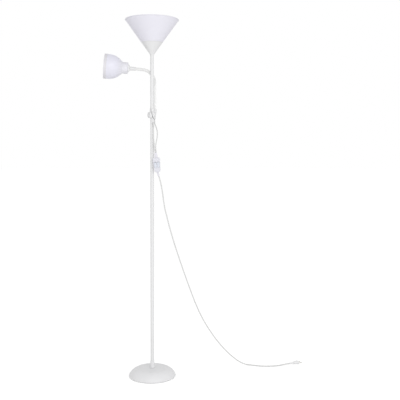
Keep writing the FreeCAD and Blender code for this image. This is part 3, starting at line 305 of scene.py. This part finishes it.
def moulded(name, colour, roughness=0.30):
    """Injection-moulded plastic: satin skin with a fine spark-eroded grain."""
    shader = Shader(name)
    cloud = shader.between(shader.noise(14.0, 3.0), 0.0, 1.0)
    clean = shader.blend_colours(cloud, shade_of(colour, 0.98), shade_of(colour, 1.01))
    # painted shade: corners and places beside other parts are darkened by ambient occlusion
    with_shade = painted_corner_shade(shader, clean, corner_shade=shade_of(colour, 0.86), reach=0.003)
    shader.link(with_shade, shader.main.inputs["Base Color"])
    wipe = shader.between(shader.noise(90.0, 4.0), roughness - 0.04, roughness + 0.08)
    shader.link(wipe, shader.main.inputs["Roughness"])
    skin = shader.bump(shader.noise(1400.0, 3.0), 0.10, 0.0003)
    shader.link(skin, shader.main.inputs["Normal"])
    return shader.material


def opal(name, colour_of):
    """Milky plastic: light passes through it, so part of the shader is translucent."""
    shader = Shader(name)
    flow = shader.between(shader.noise(7.0, 2.0, stretch=(1, 1, 0.35)), 0.0, 1.0)
    grey = shader.blend_colours(flow, (0.99, 0.99, 0.99), (1.0, 1.0, 1.0))
    milk = shader.multiply(colour_of(shader), grey)
    shader.link(milk, shader.main.inputs["Base Color"])
    satin = shader.between(shader.noise(70.0, 3.0), 0.36, 0.48)
    shader.link(satin, shader.main.inputs["Roughness"])
    ripple = shader.bump(shader.noise(28.0, 2.0), 0.05, 0.002)
    skin = shader.bump(shader.noise(1100.0, 2.0), 0.05, 0.0003, onto=ripple)
    shader.link(skin, shader.main.inputs["Normal"])
    through = shader.add("ShaderNodeBsdfTranslucent")
    shader.link(milk, through.inputs["Color"])
    mix = shader.add("ShaderNodeMixShader")
    mix.inputs["Fac"].default_value = OPAL_GLOW
    shader.link(shader.main.outputs["BSDF"], mix.inputs[1])
    shader.link(through.outputs["BSDF"], mix.inputs[2])
    shader.link(mix.outputs["Shader"], shader.tree.nodes["Material Output"].inputs["Surface"])
    return shader.material


def cone_colour(shader):
    """Bluish milk, a little denser where the mould's rim is thicker."""
    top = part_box("uplighter_shade")[1].z
    rim = shader.between(shader.height(), 0.0, 1.0, top - CONE_RIM_START, top - CONE_RIM_FULL)
    return shader.blend_colours(rim, CONE_MILK, CONE_RIM)


def bell_colour(shader):
    """Neutral in the collar, bluish in the bell and warmer in the thick band at its mouth."""
    back, mouth = along_head("reading_shade")
    place = shader.add("ShaderNodeVectorMath", operation="DOT_PRODUCT")
    place.inputs[1].default_value = HEAD_AXIS
    shader.link(shader.coordinates, place.inputs[0])
    at = place.outputs["Value"]
    flare = shader.between(at, 0.0, 1.0, back + BELL_COLLAR, back + 2 * BELL_COLLAR)
    body = shader.blend_colours(flare, COLLAR_MILK, BELL_MILK)
    edge = mouth - BELL_BAND
    band = shader.between(at, 0.0, 1.0, edge - BELL_BAND_BLUR, edge + BELL_BAND_BLUR)
    return shader.blend_colours(band, body, BAND_MILK)


def metal(name, colour, roughness, stretch=(1, 1, 12)):
    """Turned or plated metal with fine tool marks."""
    shader = Shader(name)
    marks = shader.noise(500.0, 3.0, stretch=stretch)
    tone = shader.blend_colours(shader.between(marks, 0.0, 1.0), shade_of(colour, 0.86), colour)
    shader.link(tone, shader.main.inputs["Base Color"])
    shader.main.inputs["Metallic"].default_value = 1.0
    worn = shader.between(marks, roughness - 0.06, roughness + 0.10)
    shader.link(worn, shader.main.inputs["Roughness"])
    shader.link(shader.bump(marks, 0.12, 0.0002), shader.main.inputs["Normal"])
    return shader.material


def sheath(name, colour):
    """Soft vinyl sheath: satin, with faint flow lines and handling marks."""
    shader = Shader(name)
    marks = shader.noise(45.0, 4.0)
    tone = shader.blend_colours(shader.between(marks, 0.0, 1.0), shade_of(colour, 0.95), colour)
    shader.link(tone, shader.main.inputs["Base Color"])
    shader.link(shader.between(marks, 0.36, 0.50), shader.main.inputs["Roughness"])
    shader.link(shader.bump(shader.noise(1500.0, 2.0), 0.12, 0.0002), shader.main.inputs["Normal"])
    return shader.material


def cast_iron(name):
    """Rough dark casting with the sand's grain."""
    shader = Shader(name)
    sand = shader.noise(420.0, 5.0, 0.7)
    tone = shader.blend_colours(shader.between(sand, 0.0, 1.0), *IRON_TONES)
    shader.link(tone, shader.main.inputs["Base Color"])
    shader.main.inputs["Metallic"].default_value = 0.7
    shader.main.inputs["Roughness"].default_value = 0.7
    shader.link(shader.bump(sand, 0.6, 0.0012), shader.main.inputs["Normal"])
    return shader.material


def foam(name):
    """Pale foam with open cells."""
    shader = Shader(name)
    cells = shader.add("ShaderNodeTexVoronoi")
    cells.inputs["Scale"].default_value = 700.0
    shader.link(shader.coordinates, cells.inputs["Vector"])
    fac = shader.between(cells.outputs["Distance"], 0.0, 1.0, 0.1, 0.6)
    shader.link(shader.blend_colours(fac, *FOAM_TONES), shader.main.inputs["Base Color"])
    shader.main.inputs["Roughness"].default_value = 0.9
    shader.link(shader.bump(cells.outputs["Distance"], 0.5, 0.0008), shader.main.inputs["Normal"])
    return shader.material


def frosted_glass(name):
    """White bulb glass with an uneven inner frost."""
    shader = Shader(name)
    frost = shader.noise(35.0, 3.0)
    tone = shader.blend_colours(shader.between(frost, 0.0, 1.0), *FROST_TONES)
    shader.link(tone, shader.main.inputs["Base Color"])
    shader.link(shader.between(frost, 0.16, 0.24), shader.main.inputs["Roughness"])
    shader.link(shader.bump(shader.noise(1800.0, 2.0), 0.06, 0.0002), shader.main.inputs["Normal"])
    shader.main.inputs["Coat Weight"].default_value = 0.5
    return shader.material


IRON_TONES = ((0.05, 0.05, 0.055), (0.13, 0.125, 0.12))
FOAM_TONES = ((0.42, 0.42, 0.41), (0.60, 0.60, 0.59))
FROST_TONES = ((0.83, 0.83, 0.81), (0.87, 0.87, 0.85))
OPAL_GLOW = 0.12             # share of the light that the opal plastic lets through
CONE_MILK = (0.822, 0.812, 0.878)
CONE_RIM = (0.80, 0.795, 0.85)
BELL_MILK = (0.80, 0.795, 0.875)
COLLAR_MILK = (0.805, 0.80, 0.845)
BAND_MILK = (0.735, 0.725, 0.755)
WHITE_ENAMEL = enamel("white_enamel", (0.728, 0.728, 0.732))
# The base's enamel is a slightly lighter copy of the white enamel: painted light on the base's top, which gets
# less light.
BASE_LIT_ENAMEL = enamel("base_enamel_painted_light", (0.742, 0.742, 0.752), 0.42)
# The gooseneck's foot beside the pole is painted lighter than its upper part: painted light that offsets the
# pole's shade on the foot, against the brighter light on the arch.
NECK_WHITE = (0.745, 0.745, 0.742)
NECK_ENAMEL = enamel("neck_enamel", NECK_WHITE, 0.42)
FOOT_PAINTED_LIGHT = enamel("neck_foot_painted_light", NECK_WHITE, 0.42, lit_colour=(0.84, 0.84, 0.836),
                     lit_top=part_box("neck_lower")[1].z)
WHITE_PLASTIC = moulded("white_plastic", (0.78, 0.78, 0.785))
SOFT_PLASTIC = moulded("soft_plastic", (0.60, 0.60, 0.60), 0.45)
# The knob is painted a darker grey and the clamp a little darker than the white plastic: painted shade on the
# clamp's shaded side.
KNOB_SHADED_PLASTIC = moulded("knob_plastic_painted_shade", (0.62, 0.62, 0.625), 0.34)
CLAMP_SHADED_PLASTIC = moulded("clamp_plastic_painted_shade", (0.72, 0.72, 0.725), 0.34)
SWITCH_PLASTIC = moulded("switch_plastic", (0.665, 0.665, 0.715), 0.22)
RELIEF_PLASTIC = moulded("relief_plastic", (0.69, 0.68, 0.73), 0.36)
ROCKER_PLASTIC = moulded("rocker_plastic", (0.66, 0.69, 0.76), 0.18)
OPAL_CONE = opal("opal_cone", cone_colour)
OPAL_BELL = opal("opal_bell", bell_colour)
SHEATH = sheath("white_sheath", (0.64, 0.64, 0.635))
LEG_SHEATH = sheath("leg_sheath", (0.65, 0.65, 0.648))
ZINC = metal("zinc", (0.62, 0.63, 0.65), 0.32)
BRASS = metal("brass", (0.72, 0.52, 0.24), 0.30)
NICKEL = metal("nickel", (0.66, 0.64, 0.60), 0.22, stretch=(1, 1, 1))
IRON = cast_iron("iron")
FOAM = foam("foam")
GLASS = frosted_glass("frosted_glass")

BY_SLOT = {
    "white_enamel": WHITE_ENAMEL,
    "gooseneck": NECK_ENAMEL,
    "white_plastic": WHITE_PLASTIC,
    "opal_plastic": OPAL_CONE,
    "white_cord": SHEATH,
    "zinc_steel": ZINC,
    "brass": BRASS,
    "pin_metal": NICKEL,
    "cast_weight": IRON,
    "base_pad": FOAM,
    "bulb_glass": GLASS,
}
BY_NODE = {
    "base_cover": BASE_LIT_ENAMEL,
    "foot_stub": BASE_LIT_ENAMEL,
    "pole_outlet": SOFT_PLASTIC,
    "arm_relief": SOFT_PLASTIC,
    "clamp_body": CLAMP_SHADED_PLASTIC,
    "clamp_knob": KNOB_SHADED_PLASTIC,
    "reading_shade": OPAL_BELL,
    "switch_housing": SWITCH_PLASTIC,
    "switch_cover": SWITCH_PLASTIC,
    "switch_top_relief": RELIEF_PLASTIC,
    "switch_low_relief": RELIEF_PLASTIC,
    "rocker_left": ROCKER_PLASTIC,
    "rocker_right": ROCKER_PLASTIC,
}


def paint(piece, material):
    piece.data.materials.clear()
    piece.data.materials.append(material)


def paint_nodes():
    slots = {part["node"]: part["material_slot"] for part in frame["record"]["subparts"]}
    for name, node in NODES.items():
        paint(node, BY_NODE.get(name, BY_SLOT[slots[name]]))


# ---- cords ---------------------------------------------------------------------------------------
def spline_of(name, route, bevel):
    """A smooth curve with the route's points as its control points."""
    curve = bpy.data.curves.new(name, "CURVE")
    curve.dimensions = "3D"
    spline = curve.splines.new("NURBS")
    spline.points.add(len(route) - 1)
    for point, at in zip(spline.points, route):
        point.co = (*at, 1)
    spline.order_u = CORD_ORDER
    spline.use_endpoint_u = True
    curve.resolution_u = CORD_STEPS
    curve.bevel_depth = bevel
    curve.bevel_resolution = CORD_BEVEL_STEPS
    curve.use_fill_caps = True
    piece = bpy.data.objects.new(name, curve)
    bpy.context.scene.collection.objects.link(piece)
    return piece


def centreline(name, route):
    """Points of the route's smooth curve."""
    guide = spline_of(name, route, 0)
    line = bpy.data.meshes.new_from_object(guide)
    points = [vertex.co.copy() for vertex in line.vertices]
    bpy.data.objects.remove(guide)
    bpy.data.meshes.remove(line)
    return points


def length_of(points):
    return sum((b - a).length for a, b in zip(points, points[1:]))


def tube_mesh(name, points, radii, sides):
    """A round tube along points, closed at both ends; its rings turn as little as they can."""
    vertices = []
    faces = []
    across = None
    for k, point in enumerate(points):
        tangent = (points[min(k + 1, len(points) - 1)] - points[max(k - 1, 0)]).normalized()
        reference = across if across else Vector((0, 1, 0))
        across = (reference - tangent * reference.dot(tangent)).normalized()
        other = tangent.cross(across)
        for n in range(sides):
            angle = 2 * math.pi * n / sides
            spoke = across * math.cos(angle) + other * math.sin(angle)
            vertices.append(point + spoke * radii[k])
    for k in range(len(points) - 1):
        for n in range(sides):
            a = k * sides + n
            b = k * sides + (n + 1) % sides
            faces.append((a, b, b + sides, a + sides))
    faces.append(tuple(reversed(range(sides))))
    last = (len(points) - 1) * sides
    faces.append(tuple(last + n for n in range(sides)))
    mesh = bpy.data.meshes.new(name)
    mesh.from_pydata([tuple(v) for v in vertices], [], faces)
    mesh.polygons.foreach_set("use_smooth", [len(face) == 4 for face in faces])
    piece = bpy.data.objects.new(name, mesh)
    bpy.context.scene.collection.objects.link(piece)
    return piece


def make_cords():
    pole_leg = spline_of("pole_leg", POLE_CABLE, LEG_DIAMETER / 2)
    paint(pole_leg, LEG_SHEATH)
    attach(pole_leg, "stand")
    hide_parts("pole_cable")
    length_of(centreline("pole_line", POLE_CABLE))

    line = centreline("arm_line", ARM_CABLE)
    arm_leg = tube_mesh("arm_leg", line, [LEG_DIAMETER / 2] * len(line), LEG_SIDES)
    paint(arm_leg, LEG_SHEATH)
    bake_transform(arm_leg)
    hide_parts("arm_cable")

    supply = spline_of("supply_flex", SUPPLY_CORD, CORD_DIAMETER / 2)
    paint(supply, SHEATH)
    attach(supply, "stand")
    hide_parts("supply_cord")
    length_of(centreline("supply_line", SUPPLY_CORD))


# ---- gooseneck -----------------------------------------------------------------------------------
def winding_radius(distance):
    """Radius over the wound wire at a distance along the gooseneck."""
    phase = (distance / WINDING_PITCH) % 1.0 * 2 - 1
    return NECK_RADIUS - WINDING_DEPTH * (1 - math.sqrt(1 - min(phase * phase, WINDING_BLUNT)))


class Gooseneck:
    """The gooseneck's centreline: straight up, round the bend, then along the head's axis."""

    def __init__(self):
        low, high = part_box("neck_lower")
        self.foot = Vector(((low.x + high.x) / 2, (low.y + high.y) / 2, low.z))
        self.rise = high.z - low.z
        self.out = UP.cross(ACROSS_HEAD)
        self.heading = HEAD_AXIS
        self.turn = math.acos(self.heading.z)
        hinge = Vector(JOINTS["head_turn"]["pos_m"])
        self.start = self.foot + UP * self.rise
        steps = (hinge - self.start).dot(self.out) / self.heading.dot(self.out)
        corner = hinge - self.heading * steps
        self.radius = (corner.z - self.start.z) / math.tan(self.turn / 2)
        self.arc = self.radius * self.turn
        self.end = self.bend_point(self.turn)

    def bend_point(self, angle):
        return self.start + (self.out * (1 - math.cos(angle)) + UP * math.sin(angle)) * self.radius

    def point(self, distance):
        if distance <= self.rise:
            return self.foot + UP * distance
        if distance <= self.rise + self.arc:
            return self.bend_point((distance - self.rise) / self.radius)
        return self.end + self.heading * (distance - self.rise - self.arc)

    def reach(self, node):
        """How far along the centreline a CAD node of the straight end goes."""
        furthest = along_head(node)[1]
        return self.rise + self.arc + furthest - self.end.dot(self.heading)

    def piece(self, name, start, end):
        count = max(2, round((end - start) / WINDING_PITCH * RINGS_PER_WINDING))
        steps = [start + (end - start) * k / count for k in range(count + 1)]
        radii = [winding_radius(s) for s in steps]
        piece = tube_mesh(name, [self.point(s) for s in steps], radii, NECK_SIDES)
        paint(piece, FOOT_PAINTED_LIGHT if name.endswith("neck_lower") else NECK_ENAMEL)
        return piece


def make_gooseneck():
    neck = Gooseneck()
    bend_end = neck.rise + neck.arc
    straight = [neck.reach(name) for name in ("neck_stub", "neck_flex", "neck_upper")]
    stops = [0.0, neck.rise, bend_end] + straight
    names = ("neck_lower", "neck_bend", "neck_stub", "neck_flex", "neck_upper")
    pieces = {}
    for name, start, end in zip(names, stops, stops[1:]):
        pieces[name] = neck.piece("windings_" + name, start, end)
        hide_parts(name)
    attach(pieces["neck_lower"], "arm")
    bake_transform(pieces["neck_bend"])
    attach(pieces["neck_stub"], "neck")
    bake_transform(pieces["neck_flex"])
    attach(pieces["neck_upper"], "head")


# ---- stage ---------------------------------------------------------------------------------------
def make_floor():
    """A wide pale floor: white to the camera and in reflections, with its shadows kept."""
    mesh = bpy.data.meshes.new("floor")
    signs = ((-1, -1), (1, -1), (1, 1), (-1, 1))
    corners = [(x * FLOOR_REACH, y * FLOOR_REACH, 0) for x, y in signs]
    mesh.from_pydata(corners, [], [(0, 1, 2, 3)])
    floor = bpy.data.objects.new("floor", mesh)
    bpy.context.scene.collection.objects.link(floor)
    shader = Shader("floor_paper")
    fibre = shader.between(shader.noise(3.0), 0.0, 1.0)
    tone = shader.blend_colours(fibre, *FLOOR_PAPER)
    shader.link(tone, shader.main.inputs["Base Color"])
    shader.main.inputs["Roughness"].default_value = 0.9
    shader.main.inputs["Specular IOR Level"].default_value = 0.0
    white = shader.add("ShaderNodeEmission")
    glow = shader.between(seen_directly(shader.tree), 0.0, FLOOR_GLOW, 0.0, 1.0)
    shader.link(glow, white.inputs["Strength"])
    both = shader.add("ShaderNodeAddShader")
    shader.link(shader.main.outputs["BSDF"], both.inputs[0])
    shader.link(white.outputs["Emission"], both.inputs[1])
    shader.link(both.outputs["Shader"], shader.tree.nodes["Material Output"].inputs["Surface"])
    paint(floor, shader.material)


def area_light(name, at, target, size, power):
    data = bpy.data.lights.new(name, "AREA")
    data.shape = "RECTANGLE"
    data.size, data.size_y = size
    data.energy = power
    light = bpy.data.objects.new(name, data)
    light.location = at
    light.rotation_euler = (Vector(target) - Vector(at)).to_track_quat("-Z", "Y").to_euler()
    bpy.context.scene.collection.objects.link(light)


def make_world():
    """White to the camera and in reflections; a plain even light for everything else."""
    world = bpy.data.worlds.new("studio")
    world.use_nodes = True
    bpy.context.scene.world = world
    tree = world.node_tree
    room = tree.nodes["Background"]
    room.inputs["Color"].default_value = (1, 1, 1, 1)
    room.inputs["Strength"].default_value = ROOM_LIGHT
    paper = tree.nodes.new("ShaderNodeBackground")
    paper.inputs["Color"].default_value = (1, 1, 1, 1)
    paper.inputs["Strength"].default_value = PAPER_LIGHT
    mix = tree.nodes.new("ShaderNodeMixShader")
    tree.links.new(seen_directly(tree), mix.inputs["Fac"])
    tree.links.new(room.outputs["Background"], mix.inputs[1])
    tree.links.new(paper.outputs["Background"], mix.inputs[2])
    tree.links.new(mix.outputs["Shader"], tree.nodes["World Output"].inputs["Surface"])


def make_lights():
    area_light("key", *KEY_LIGHT)
    area_light("fill", *FILL_LIGHT)


make_camera()
make_cords()
paint_nodes()
make_gooseneck()
make_floor()
make_world()
make_lights()
bpy.context.scene.view_settings.view_transform = "Standard"
